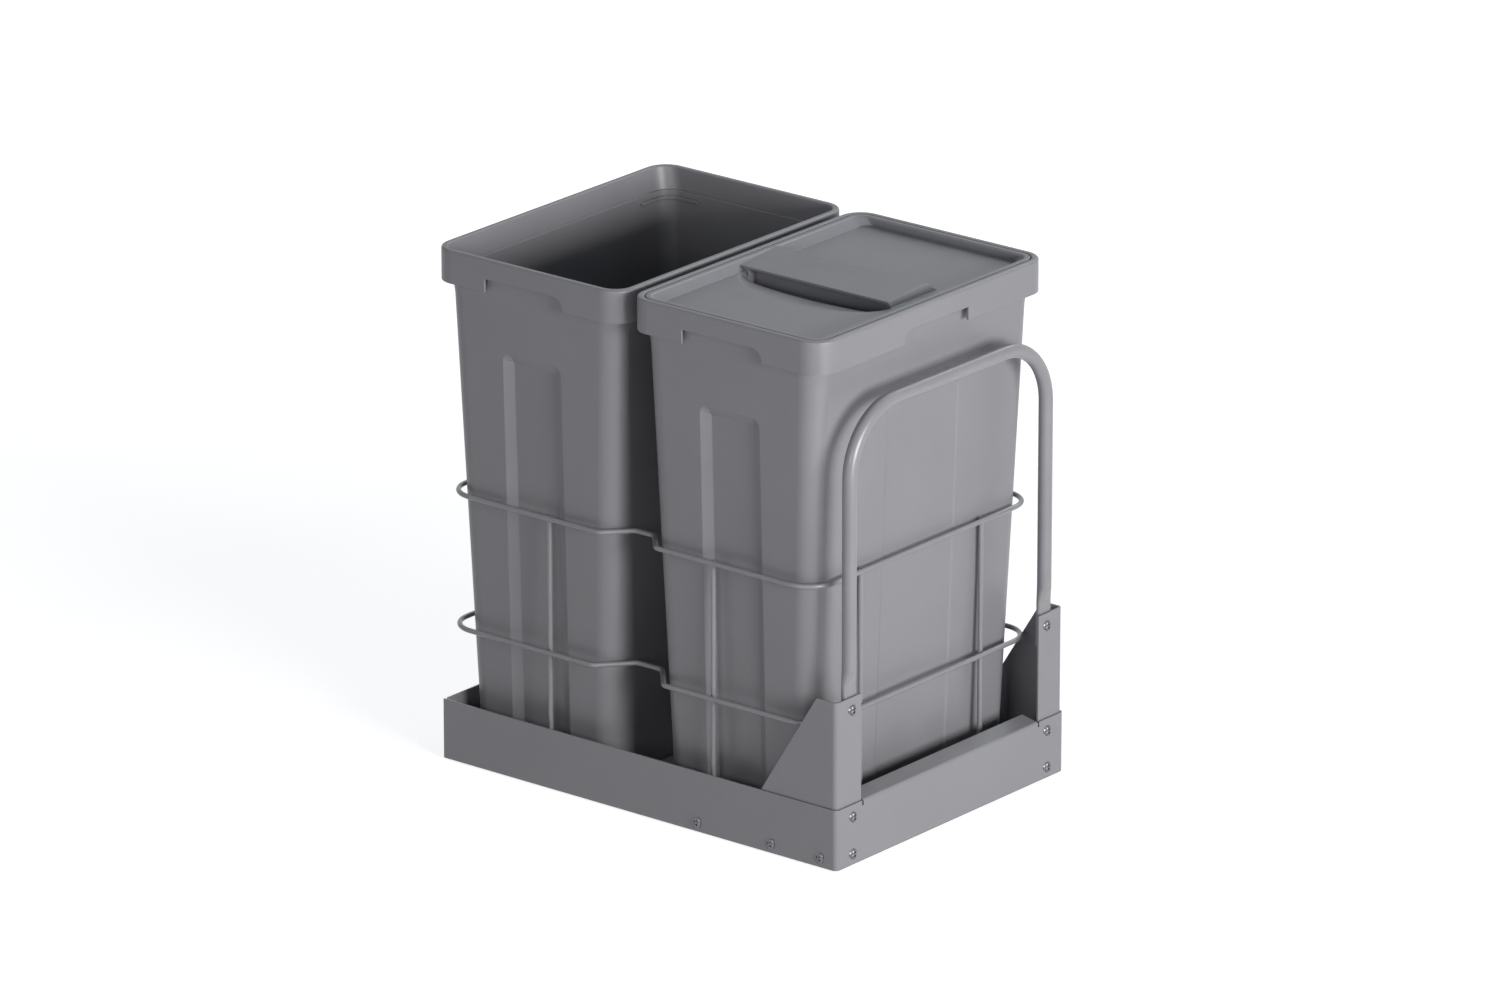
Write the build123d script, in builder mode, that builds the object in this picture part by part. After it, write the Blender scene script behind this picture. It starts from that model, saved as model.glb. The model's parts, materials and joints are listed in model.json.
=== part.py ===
from build123d import *
import math
import os

# Pull-out unit that carries two waste bins in a wire rack on a sheet-metal tray.
# Millimetres. Front (handle side) toward -Y, +X to the right, +Z up, floor at z = 0.
# The origin is the centre of the whole unit's footprint on the cabinet floor.

os.makedirs("parts", exist_ok=True)

# ---------------------------------------------------------------- driving sizes
bin_length = 346.8            # rim, across the unit
bin_depth = 233.0             # rim, front to back
bin_height = 502.0
bin_wall = 2.5
bin_rim_gap = 9.0             # between the two rims
bin_rim_radius = 24.0
bin_body_radius = 20.0
bin_draft_across = 14.5       # how much each side leans in, ledge to bottom
bin_draft_deep = 18.6
ledge_reach_across = 7.5      # body face to rim face at the ledge
ledge_reach_deep = 11.3
ledge_below_rim = 22.5        # ledge that the lid rests on
ledge_step = 2.0              # its width
rim_bead = 6.6                # skirt face to the inside of the rim, over the rounded top
rim_bead_height = 3.5
rim_bead_radius = 2.4         # outside of its rounded top
rim_bead_inner_radius = 1.4
skirt_wall = 2.4
skirt_drop = 33.0             # skirt's lower edge below the rim top, at the corners
notch_below_rim = 19.5        # its lower edge along the middle of every side
flare_height = 24.0           # body thickens outward over this height, under the ledge
lug_reach = 40.0              # stacking lugs inside the corners
lug_depth = 1.8
lug_height = 3.0
lug_below_ledge = 6.0
notch_square_end = 50.0
notch_round_end = 46.0
notch_radius = 11.5
side_recess_width = 72.0
side_recess_depth = 5.5
side_recess_slope = 10.0
end_recess_width = 110.0
end_recess_depth = 1.2
end_recess_slope = 2.4
recess_below_rim = 92.5
recess_corner = 9.0

lid_sheet = 2.5
lid_below_rim = 0.2           # lid's top edge below the rim top
lid_border = 6.0              # rounded border round the dish
lid_border_radius = 2.2       # toward the dish
lid_edge_radius = 1.0         # toward the rim
lid_dish_depth = 8.0
lid_dish_slope_across = 0.4   # how far the dish's sides lean in, top to floor
lid_dish_slope_deep = 8.0
grip_low_x = -25.5            # plateau's edge over the finger scoop
grip_crest_x = 34.0
grip_high_x = 44.0            # foot of its far slope
grip_low_y = -83.5
grip_high_y = 94.0
grip_edge_rise = 5.0
grip_crest_rise = 8.0
grip_end_run = 4.0            # slope of its front end
scoop_sag = 49.0              # shallow part of the scoop, from the plateau's edge
scoop_shallow = 5.5
scoop_pocket_sag = 17.0       # deep part, from the plateau's edge
scoop_pocket_inset = 5.0
scoop_deep = 15.0
scoop_under = 9.0             # deep part, under the plateau's edge

wire = 5.0                    # rack wire diameter
rack_corner_radius = 30.0
rack_bend_radius = 8.0        # bends of the dips between the bins
upper_dip_depth = 26.5
upper_dip_reach = 35.0        # middle of the dip to its start on the side
upper_dip_flat = 11.0         # half of its straight part
lower_dip_depth = 33.0
lower_dip_reach = 44.0
lower_dip_flat = 15.0
upright_from_centre = 92.0    # front and back uprights, across the unit
side_upright_spacing = 201.4  # between the two uprights of one side
upper_ring_height = 272.5
rack_set_back = 33.2          # tray's front face to the rack's front wire

sheet = 1.5                   # tray walls
wall_top = 62.0
wall_clear_floor = 1.5
wall_bend_radius = 5.0
rack_to_wall = 3.0            # wire to the tray's side wall
clip_sheet = 1.5              # clips that hold the base ring
clip_width = 12.0
clip_foot = 10.5
clip_screw_reach = 7.0        # ring's wire to the clip's screw
clip_screw_shank = 2.6
clip_screw_head = 4.6
clip_screw_head_height = 1.3
front_clip_x = 60.0
side_clip_offset = 62.0       # from the rack's middle
front_return = 19.5           # inward along the top of the front wall
front_return_rise = 3.8       # up to its free edge
return_bend = 2.5
return_relief = 2.0           # slot at each end of the front's return
rear_tab_length = 14.0
floor_sheet = 2.0
flange_foot = 3.0             # cabinet floor to the pan's turned-down flanges
runner_thickness = 14.1       # runner laid flat, floor to pan
bracket_sheet = 2.0
bracket_top = 169.0
bracket_face_width = 37.3
bracket_land = 25.8           # flat part of the gusset's top edge
bracket_slope_run = 64.0
bracket_slope_fall = 102.5
bracket_side_length = 110.0
bracket_cut_margin = 10.0     # the gusset's cut runs past its ends

tube = 14.0                   # handle bow
tube_wall = 1.5
handle_top = 454.5
handle_corner_radius = 65.0
leg_inset = 25.5              # side of the tray to the leg's centre
tube_ahead = 0.65             # tube's centre line in front of its feet's
foot_width = 18.6             # tube pressed flat
foot_thickness = 6.0
foot_bottom = 136.5
foot_above_bracket = 12.0
flatten_run = 14.0            # from the flat foot to the round tube

screw_shank = 4.0
screw_head = 7.2
screw_head_height = 2.0
screw_tip = 2.0               # screw past the sheets it holds
handle_screw_height = 155.0
bracket_screw_height = 48.2
front_screw_height = 11.0
side_screw_height = 9.5
side_screw_rows = (19.5, 78.8, 168.6)   # behind the tray's front face

runner_width = 45.0
runner_length = 450.0
runner_inset = 63.4           # tray's inside to the runner's centre line
runner_front_gap = 12.0       # tray's front face to the runner's front end
runner_sheet = 1.2
stop_length = 8.0             # rubber pad behind the moving rails
tie_width = 34.0              # cross ties between the fixed rails
tie_edge = 7.0
tie_inset = 60.0              # runner's end to the tie's centre line
travel = 430.0
runner_screw_rows = (35.0, 205.0, 375.0)   # behind the runner's front end, as the fixings
sink_radius = 3.6             # sunk heads of the runner screws
runner_screw_tip = 1.5        # below the moving rail's web
fixing_rows = (37.0, 389.0)
fixing_radius = 2.25
ball = 3.2
ball_gap = 4.0                # between two rail walls, the ball and its play
balls_per_row = 9
ball_above_middle = 0.6       # the balls' line above the middle of the rails' overlap
rail_lip = 1.6                # turned in over the balls
rail_below_pan = 2.5          # fixed rail's top below the pan
cage_strip = 0.5
cage_below_lip = 0.5          # carrier's top below what covers it
stop_corner = 1.5

# ---------------------------------------------------------------- clearances
running_clear = 1.3           # bin wall to the rack uprights
tight_clear = 0.35            # wire to the tray's rear wall
hole_clear = 0.1              # screw shank in its hole, on the radius
lid_clear = 0.8               # lid edge to the rim's inside
weld_gap = 0.02               # wires that only touch
clip_clear = 0.05             # wire in its clip, on the radius
cage_end_clear = 4.0          # cage's end to the end of the rails' overlap
middle_rail_clear = 1.0       # above the fixed rail's web
middle_top_clear = 0.4        # below the fixed rail's top
moving_rail_clear = 1.3       # above the middle rail's web
outer_cage_clear = 0.3        # above the fixed rail's web
inner_cage_clear = 0.35       # above the middle rail's web
stop_side_clear = 1.0
stop_top_clear = 2.0

# ---------------------------------------------------------------- derived sizes
pan_under = runner_thickness
pan_top = pan_under + floor_sheet
rim_x = bin_length / 2
rim_y = bin_depth / 2
ledge_z = bin_height - ledge_below_rim           # above the bin's bottom, as the next ones are
flare_z = ledge_z - flare_height
bead_z = bin_height - rim_bead_height
notch_z = bin_height - notch_below_rim
skirt_z = bin_height - skirt_drop
top_x = rim_x - ledge_reach_across
top_y = rim_y - ledge_reach_deep
pitch = bin_depth + bin_rim_gap


def body_half_x(z):
    """Half length of the bin's tapered body at a height above its bottom."""
    return top_x - bin_draft_across * (1 - z / ledge_z)


def body_half_y(z):
    """Half depth of the bin's tapered body at a height above its bottom."""
    return top_y - bin_draft_deep * (1 - z / ledge_z)


ring_z = upper_ring_height - pan_top
rack_half_x = body_half_x(ring_z) + running_clear + wire * 1.5
rack_half_y = pitch / 2 + body_half_y(ring_z) + running_clear + wire * 1.5
lower_ring_height = upper_ring_height / 2
wall_half_x = rack_half_x + wire / 2 + rack_to_wall + sheet
tray_depth = rack_set_back + rack_half_y * 2 - wire / 2 + tight_clear + sheet

rack_from_front = rack_set_back + rack_half_y
rim_back = rack_from_front + pitch / 2 + rim_y
overall_depth = screw_head_height + rim_back
front = -overall_depth / 2 + screw_head_height    # y of the tray's front face
back = front + tray_depth
rack_y = front + rack_from_front
front_bin_y = rack_y - pitch / 2
rear_bin_y = rack_y + pitch / 2
inner_half_x = wall_half_x - sheet
leg_x = wall_half_x - leg_inset
foot_y = front + sheet + bracket_sheet + foot_thickness / 2
tube_y = foot_y - tube_ahead
runner_spread = (inner_half_x - runner_inset) * 2   # between the two runners' centre lines
runner_front = front + runner_front_gap
runner_back = runner_front + runner_length
hole_radius = screw_shank / 2 + hole_clear


def forward_plane(x, y):
    """Section plane at y whose extrusion runs toward the front, with its y axis up."""
    return Plane(origin=(x, y, 0), x_dir=(1, 0, 0), z_dir=(0, -1, 0))


def sideways_plane(x):
    """Section plane at x whose extrusion runs toward +X: local x is +Y, local y is +Z."""
    return Plane(origin=(x, 0, 0), x_dir=(0, 1, 0), z_dir=(1, 0, 0))


def plane_toward(point, direction):
    """Plane at a point whose normal points along a direction."""
    return Plane(origin=point, z_dir=direction)


def pan_head_screw(shank_length, head=screw_head, head_height=screw_head_height, shank=screw_shank):
    """Cross-recess screw: head above its own z = 0, shank below."""
    with BuildPart(Plane.XY) as screw:
        Cylinder(head / 2, head_height, align=(Align.CENTER, Align.CENTER, Align.MIN))
        fillet(screw.edges().group_by(Axis.Z)[-1], head_height * 0.6)
        Cylinder(shank / 2, shank_length, align=(Align.CENTER, Align.CENTER, Align.MAX))
        with Locations((0, 0, head_height)):
            Box(head * 0.55, head * 0.13, head_height, mode=Mode.SUBTRACT)
            Box(head * 0.13, head * 0.55, head_height, mode=Mode.SUBTRACT)
    return screw.part


def finish(name, label):
    """Label one piece and write its STEP file."""
    name.part.label = label
    export_step(name.part, "parts/" + label + ".step")


# ---------------------------------------------------------------- tray walls
with BuildPart() as tray_surround:
    wall_centre_y = (front + back) / 2
    with BuildSketch(Plane.XY.offset(wall_clear_floor)):
        with Locations((0, wall_centre_y)):
            Rectangle(wall_half_x * 2, tray_depth)
            Rectangle(inner_half_x * 2, tray_depth - sheet * 2, mode=Mode.SUBTRACT)
        with Locations((0, back)):
            Rectangle(inner_half_x * 2, sheet * 2, mode=Mode.SUBTRACT)
    extrude(amount=wall_top - wall_clear_floor)
    for corner_y, radius in ((front, wall_bend_radius), (front + sheet, wall_bend_radius - sheet)):
        upright_edges = tray_surround.edges().filter_by(Axis.Z)
        fillet(upright_edges.filter_by_position(Axis.Y, corner_y - 0.1, corner_y + 0.1), radius)

    # inward return along the top of the front wall, rising inward, with a relief slot at each end
    return_half = inner_half_x - bracket_face_width - return_relief
    return_lean = math.atan(front_return_rise / front_return)
    with BuildSketch(Plane.XY.offset(wall_top - return_bend * 2)):
        with Locations((0, front + sheet / 2)):
            Rectangle((return_half + return_relief) * 2, sheet * 1.2)
    extrude(amount=return_bend * 2, mode=Mode.SUBTRACT)
    with BuildSketch(sideways_plane(-return_half)):
        with BuildLine():
            outer_bend = FilletPolyline(
                (front, wall_top - return_bend * 2),
                (front, wall_top),
                (front + front_return, wall_top + front_return_rise),
                radius=return_bend,
            )
            inner_bend = FilletPolyline(
                (
                    front + front_return + sheet * math.sin(return_lean),
                    wall_top + front_return_rise - sheet * math.cos(return_lean),
                ),
                (front + sheet, wall_top + sheet * math.tan(return_lean) - sheet / math.cos(return_lean)),
                (front + sheet, wall_top - return_bend * 2),
                radius=return_bend - sheet,
            )
            Line(outer_bend @ 1, inner_bend @ 0)
            Line(inner_bend @ 1, outer_bend @ 0)
        make_face()
    extrude(amount=return_half * 2)

    # screw holes: front wall and both sides
    for sign in (-1, 1):
        with BuildSketch(forward_plane(0, front + sheet)):
            with Locations((sign * leg_x, bracket_screw_height), (sign * leg_x, front_screw_height)):
                Circle(hole_radius)
        extrude(amount=sheet, mode=Mode.SUBTRACT)
        with BuildSketch(sideways_plane(sign * (wall_half_x - sheet / 2) - sheet)):
            with Locations([(front + row, side_screw_height) for row in side_screw_rows]):
                Circle(hole_radius)
        extrude(amount=sheet * 2, mode=Mode.SUBTRACT)

finish(tray_surround, "tray_surround")

# ---------------------------------------------------------------- rear wall
with BuildPart() as tray_rear_wall:
    with BuildSketch(Plane.XY.offset(pan_under)):
        with BuildLine():
            outside = FilletPolyline(
                (-inner_half_x, back - rear_tab_length),
                (-inner_half_x, back),
                (inner_half_x, back),
                (inner_half_x, back - rear_tab_length),
                radius=wall_bend_radius,
            )
            inside = FilletPolyline(
                (inner_half_x - sheet, back - rear_tab_length),
                (inner_half_x - sheet, back - sheet),
                (-inner_half_x + sheet, back - sheet),
                (-inner_half_x + sheet, back - rear_tab_length),
                radius=wall_bend_radius - sheet,
            )
            Line(outside @ 1, inside @ 0)
            Line(inside @ 1, outside @ 0)
        make_face()
    extrude(amount=wall_top - pan_under)

finish(tray_rear_wall, "tray_rear_wall")

# ---------------------------------------------------------------- floor pan
pan_front = front + sheet
pan_back = back - sheet
base_half_x = rack_half_x - wire
base_half_y = rack_half_y - wire
base_z = pan_top + wire / 2
clip_spots = [
    ((-front_clip_x, rack_y - base_half_y), "front"),
    ((front_clip_x, rack_y - base_half_y), "front"),
    ((-base_half_x, rack_y - side_clip_offset), "left"),
    ((-base_half_x, rack_y + side_clip_offset), "left"),
    ((base_half_x, rack_y - side_clip_offset), "right"),
    ((base_half_x, rack_y + side_clip_offset), "right"),
]
clip_ways = {"front": Vector(0, 1), "left": Vector(-1, 0), "right": Vector(1, 0)}


def clip_screw_spot(spot, side):
    """Where a clip's screw stands: inside the base ring at the sides, in front of it ahead."""
    place = Vector(*spot) - clip_ways[side].normalized() * clip_screw_reach
    return (place.X, place.Y)


clip_screw_points = [clip_screw_spot(spot, side) for spot, side in clip_spots]
runner_screw_points = [
    (sign * runner_spread / 2, runner_front + row) for sign in (-1, 1) for row in runner_screw_rows
]
sink_depth = floor_sheet * 0.4

with BuildPart() as tray_floor_pan:
    with BuildSketch(Plane.XY.offset(pan_under)):
        with Locations((0, (pan_front + pan_back) / 2)):
            Rectangle(inner_half_x * 2, pan_back - pan_front)
        # notches that clear the bent corners and the rear wall's side tabs
        with Locations((-inner_half_x, pan_front), (inner_half_x, pan_front)):
            Rectangle(wall_bend_radius * 2, wall_bend_radius * 2, mode=Mode.SUBTRACT)
        with Locations((-inner_half_x, back), (inner_half_x, back)):
            Rectangle(wall_bend_radius * 2, rear_tab_length * 2, mode=Mode.SUBTRACT)
    extrude(amount=floor_sheet)
    # down-turned flanges that the low screws bite into
    with BuildSketch(Plane.XY.offset(flange_foot)):
        side_run = pan_back - pan_front - wall_bend_radius - rear_tab_length
        for sign in (-1, 1):
            side_x = sign * (inner_half_x - floor_sheet / 2)
            with Locations((side_x, pan_front + wall_bend_radius + side_run / 2)):
                Rectangle(floor_sheet, side_run)
        with Locations((0, pan_front + floor_sheet / 2)):
            Rectangle((inner_half_x - wall_bend_radius) * 2, floor_sheet)
    extrude(amount=pan_under - flange_foot)
    with BuildSketch(forward_plane(0, pan_front + floor_sheet)):
        with Locations((-leg_x, front_screw_height), (leg_x, front_screw_height)):
            Circle(hole_radius)
    extrude(amount=floor_sheet, mode=Mode.SUBTRACT)
    for sign in (-1, 1):
        with BuildSketch(sideways_plane(sign * (inner_half_x - floor_sheet / 2) - floor_sheet)):
            with Locations([(front + row, side_screw_height) for row in side_screw_rows]):
                Circle(hole_radius)
        extrude(amount=floor_sheet * 2, mode=Mode.SUBTRACT)
    with BuildSketch(Plane.XY.offset(pan_under)):
        with Locations(clip_screw_points):
            Circle(clip_screw_shank / 2 + hole_clear)
        with Locations(runner_screw_points):
            Circle(hole_radius)
    extrude(amount=floor_sheet, mode=Mode.SUBTRACT)
    with Locations([(x, y, pan_top - sink_depth) for x, y in runner_screw_points]):
        Cone(
            hole_radius,
            sink_radius + hole_clear,
            sink_depth,
            align=(Align.CENTER, Align.CENTER, Align.MIN),
            mode=Mode.SUBTRACT,
        )

finish(tray_floor_pan, "tray_floor_pan")

# ---------------------------------------------------------------- corner brackets
bracket_base = pan_top
bracket_front = front + sheet
for side, sign in (("left", -1), ("right", 1)):
    with BuildPart() as corner_bracket:
        corner_x = sign * inner_half_x
        inner_x = sign * (inner_half_x - bracket_face_width)
        with BuildSketch(Plane.XY.offset(bracket_base)):
            with BuildLine():
                outside = FilletPolyline(
                    (inner_x, bracket_front),
                    (corner_x, bracket_front),
                    (corner_x, bracket_front + bracket_side_length),
                    radius=wall_bend_radius,
                )
                inside = FilletPolyline(
                    (corner_x - sign * bracket_sheet, bracket_front + bracket_side_length),
                    (corner_x - sign * bracket_sheet, bracket_front + bracket_sheet),
                    (inner_x, bracket_front + bracket_sheet),
                    radius=wall_bend_radius - bracket_sheet,
                )
                Line(outside @ 1, inside @ 0)
                Line(inside @ 1, outside @ 0)
            make_face()
        extrude(amount=bracket_top - bracket_base)
        # sloping edge of the gusset
        slope = bracket_slope_fall / bracket_slope_run
        cut_back = bracket_front + bracket_side_length + bracket_cut_margin
        land_y = front + bracket_land
        with BuildSketch(sideways_plane(corner_x - bracket_sheet * 2)):
            with BuildLine():
                Polyline(
                    (land_y, bracket_top),
                    (land_y, bracket_top + bracket_cut_margin),
                    (cut_back, bracket_top + bracket_cut_margin),
                    (cut_back, bracket_top - slope * (cut_back - land_y)),
                    close=True,
                )
            make_face()
        extrude(amount=bracket_sheet * 4, mode=Mode.SUBTRACT)
        # holes for the handle screw and the bracket screw
        with BuildSketch(forward_plane(0, bracket_front + bracket_sheet)):
            with Locations((sign * leg_x, handle_screw_height), (sign * leg_x, bracket_screw_height)):
                Circle(hole_radius)
        extrude(amount=bracket_sheet, mode=Mode.SUBTRACT)
    finish(corner_bracket, "corner_bracket_" + side)

# ---------------------------------------------------------------- handle bow
bar_z = handle_top - tube / 2
foot_top = bracket_top + foot_above_bracket
flatten_top = foot_top + flatten_run
handle_plane = Plane(origin=(0, tube_y, 0), x_dir=(1, 0, 0), z_dir=(0, -1, 0))


def bow_path():
    """Centre line of the bow above the flattened feet, drawn in the handle plane."""
    return FilletPolyline(
        (-leg_x, flatten_top),
        (-leg_x, bar_z),
        (leg_x, bar_z),
        (leg_x, flatten_top),
        radius=handle_corner_radius,
    )


with BuildPart() as handle_bow:
    with BuildLine(handle_plane):
        bow_path()
    with BuildSketch(Plane(origin=(-leg_x, tube_y, flatten_top), z_dir=(0, 0, 1))):
        Circle(tube / 2)
    sweep()
    with BuildLine(handle_plane):
        bow_path()
    with BuildSketch(Plane(origin=(-leg_x, tube_y, flatten_top), z_dir=(0, 0, 1))):
        Circle(tube / 2 - tube_wall)
    sweep(mode=Mode.SUBTRACT)
    for sign in (-1, 1):
        # flattened foot, drawn out to the round tube
        with BuildSketch(Plane(origin=(sign * leg_x, foot_y, foot_top), z_dir=(0, 0, 1))):
            RectangleRounded(foot_width, foot_thickness, foot_thickness * 0.49)
        with BuildSketch(Plane(origin=(sign * leg_x, tube_y, flatten_top), z_dir=(0, 0, 1))):
            RectangleRounded(tube, tube, tube * 0.499)
        loft()
        with BuildSketch(Plane(origin=(sign * leg_x, foot_y, foot_bottom), z_dir=(0, 0, 1))):
            RectangleRounded(foot_width, foot_thickness, foot_thickness * 0.49)
        extrude(amount=foot_top - foot_bottom)
    with BuildSketch(forward_plane(0, foot_y + foot_thickness / 2)):
        with Locations((-leg_x, handle_screw_height), (leg_x, handle_screw_height)):
            Circle(hole_radius)
    extrude(amount=foot_thickness, mode=Mode.SUBTRACT)

finish(handle_bow, "handle_bow")

# ---------------------------------------------------------------- screws of the tray
handle_screw_length = bracket_sheet + foot_thickness
with BuildPart() as handle_screws:
    with Locations(
        [plane_toward((sign * leg_x, bracket_front, handle_screw_height), (0, -1, 0)) for sign in (-1, 1)]
    ):
        add(pan_head_screw(handle_screw_length))
finish(handle_screws, "handle_screws")

wall_screw_length = sheet + bracket_sheet + screw_tip
with BuildPart() as front_screws:
    with Locations(
        [
            plane_toward((sign * leg_x, front, height), (0, -1, 0))
            for sign in (-1, 1)
            for height in (bracket_screw_height, front_screw_height)
        ]
    ):
        add(pan_head_screw(wall_screw_length))
finish(front_screws, "front_screws")

for side, sign in (("left", -1), ("right", 1)):
    with BuildPart() as side_screws:
        with Locations(
            [
                plane_toward((sign * wall_half_x, front + row, side_screw_height), (sign, 0, 0))
                for row in side_screw_rows
            ]
        ):
            add(pan_head_screw(wall_screw_length))
    finish(side_screws, "side_screws_" + side)

# ---------------------------------------------------------------- wire rack


def ring_with_dips(height, depth, reach, flat):
    """Closed ring of wire round both bins, dipping in between them on the long sides."""
    x = rack_half_x
    y0 = rack_y - rack_half_y
    y1 = rack_y + rack_half_y
    dip = [(x, -reach), (x - depth, -flat), (x - depth, flat), (x, reach)]
    corners = [(-x, y0), (x, y0)] + [(dip_x, rack_y + dip_y) for dip_x, dip_y in dip]
    corners += [(x, y1), (-x, y1)] + [(-dip_x, rack_y - dip_y) for dip_x, dip_y in dip]
    bends = [rack_corner_radius] * 2 + [rack_bend_radius] * len(dip)
    with BuildPart() as ring:
        with BuildLine(Plane.XY.offset(height)):
            path = FilletPolyline(*corners, radius=bends + bends, close=True)
        with BuildSketch(Plane(origin=path @ 0, z_dir=path % 0)):
            Circle(wire / 2)
        sweep(path=path)
    return ring


rack_ring_upper = ring_with_dips(upper_ring_height, upper_dip_depth, upper_dip_reach, upper_dip_flat)
finish(rack_ring_upper, "rack_ring_upper")
rack_ring_lower = ring_with_dips(lower_ring_height, lower_dip_depth, lower_dip_reach, lower_dip_flat)
finish(rack_ring_lower, "rack_ring_lower")

with BuildPart() as rack_base_ring:
    with BuildLine(Plane.XY.offset(base_z)):
        base_path = FilletPolyline(
            (-base_half_x, rack_y - base_half_y),
            (base_half_x, rack_y - base_half_y),
            (base_half_x, rack_y + base_half_y),
            (-base_half_x, rack_y + base_half_y),
            radius=rack_corner_radius - wire,
            close=True,
        )
    with BuildSketch(Plane(origin=base_path @ 0, z_dir=base_path % 0)):
        Circle(wire / 2)
    sweep(path=base_path)
finish(rack_base_ring, "rack_base_ring")

upright_bottom = pan_top + wire + weld_gap
upright_top = upper_ring_height + 1.0
upright_x = base_half_x - weld_gap
upright_y = base_half_y - weld_gap
upright_groups = {
    "front": [(s * upright_from_centre, rack_y - upright_y) for s in (-1, 1)],
    "back": [(s * upright_from_centre, rack_y + upright_y) for s in (-1, 1)],
    "left": [(-upright_x, rack_y + s * side_upright_spacing / 2) for s in (-1, 1)],
    "right": [(upright_x, rack_y + s * side_upright_spacing / 2) for s in (-1, 1)],
}
for side, spots in upright_groups.items():
    with BuildPart() as rack_uprights:
        with BuildSketch(Plane.XY.offset(upright_bottom)):
            with Locations(spots):
                Circle(wire / 2)
        extrude(amount=upright_top - upright_bottom)
    finish(rack_uprights, "rack_uprights_" + side)

# ---------------------------------------------------------------- clips of the base ring
clip_inside = wire / 2 + clip_clear
with BuildPart() as one_clip:
    with BuildSketch(forward_plane(0, clip_width / 2)):
        with Locations((0, wire / 2)):
            Circle(clip_inside + clip_sheet)
        with Locations((0, wire / 4)):
            Rectangle((clip_inside + clip_sheet) * 2, wire / 2)
        with Locations((-clip_foot / 2, clip_sheet / 2)):
            Rectangle(clip_foot, clip_sheet)
        with Locations((0, wire / 2)):
            Circle(clip_inside, mode=Mode.SUBTRACT)
        with Locations((0, wire / 4)):
            Rectangle(clip_inside * 2, wire / 2, mode=Mode.SUBTRACT)
        with Locations((0, -wire)):
            Rectangle(wire * 10, wire * 2, mode=Mode.SUBTRACT)
    extrude(amount=clip_width)
    with BuildSketch(Plane.XY):
        with Locations((-clip_screw_reach, 0)):
            Circle(clip_screw_shank / 2 + hole_clear)
    extrude(amount=clip_sheet, mode=Mode.SUBTRACT)

with BuildPart() as rack_clips:
    with Locations([Plane(origin=(x, y, pan_top), x_dir=clip_ways[side]) for (x, y), side in clip_spots]):
        add(one_clip.part)
finish(rack_clips, "rack_clips")

with BuildPart() as clip_screws:
    with Locations([(x, y, pan_top + clip_sheet) for x, y in clip_screw_points]):
        add(
            pan_head_screw(
                clip_sheet + floor_sheet, clip_screw_head, clip_screw_head_height, clip_screw_shank
            )
        )
finish(clip_screws, "clip_screws")

# ---------------------------------------------------------------- waste bins


def body_outline(z, grow, mode=Mode.ADD):
    """Rounded outline of the body at one height, moved out by a distance."""
    RectangleRounded(
        (body_half_x(z) + grow) * 2, (body_half_y(z) + grow) * 2, bin_body_radius + grow, mode=mode
    )


def rim_outline(inset, mode=Mode.ADD):
    """Rounded outline of the rim, moved in by a distance."""
    RectangleRounded(bin_length - inset * 2, bin_depth - inset * 2, bin_rim_radius - inset, mode=mode)


def tapered_body(grow, low, high):
    """Tapered box of the bin, its faces moved out by a distance, between two heights."""
    with BuildPart(mode=Mode.PRIVATE) as body:
        for z in (low, high):
            with BuildSketch(Plane.XY.offset(z)):
                body_outline(z, grow)
        loft(ruled=True)
    return body.part


def face_recess(outward, face_half, draft, width, depth, slope, inset):
    """Recess sunk into one leaning face, sloped at its edges and rounded at its top corners.

    An inset thickens it by the wall, which gives the bump that it makes inside the bin.
    """
    lean = math.atan(draft / ledge_z)
    run = (bin_height - recess_below_rim) / math.cos(lean)
    grow = inset * (slope / depth + math.tan(0.5 * math.atan(depth / slope)))
    below = bin_wall * 16
    face = Plane(
        origin=outward * face_half(0),
        x_dir=(outward.Y, -outward.X, 0),
        z_dir=outward * -math.cos(lean) + Vector(0, 0, math.sin(lean)),
    )
    with BuildPart(mode=Mode.PRIVATE) as block:
        with BuildSketch(face):
            with Locations((0, (run + grow - below) / 2)):
                outline = Rectangle(width + grow * 2, run + grow + below)
            fillet(outline.vertices().group_by(Axis.Z)[-1], recess_corner + grow)
        extrude(amount=depth + inset, taper=math.degrees(math.atan(slope / depth)))
    return block.part


def all_recesses(inset):
    """The four recesses of a bin, for its outside (no inset) or its inside."""
    side = (body_half_x, bin_draft_across, side_recess_width, side_recess_depth, side_recess_slope)
    end = (body_half_y, bin_draft_deep, end_recess_width, end_recess_depth, end_recess_slope)
    blocks = [face_recess(Vector(sign, 0), *side, inset) for sign in (-1, 1)]
    blocks += [face_recess(Vector(0, sign), *end, inset) for sign in (-1, 1)]
    return blocks


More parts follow.
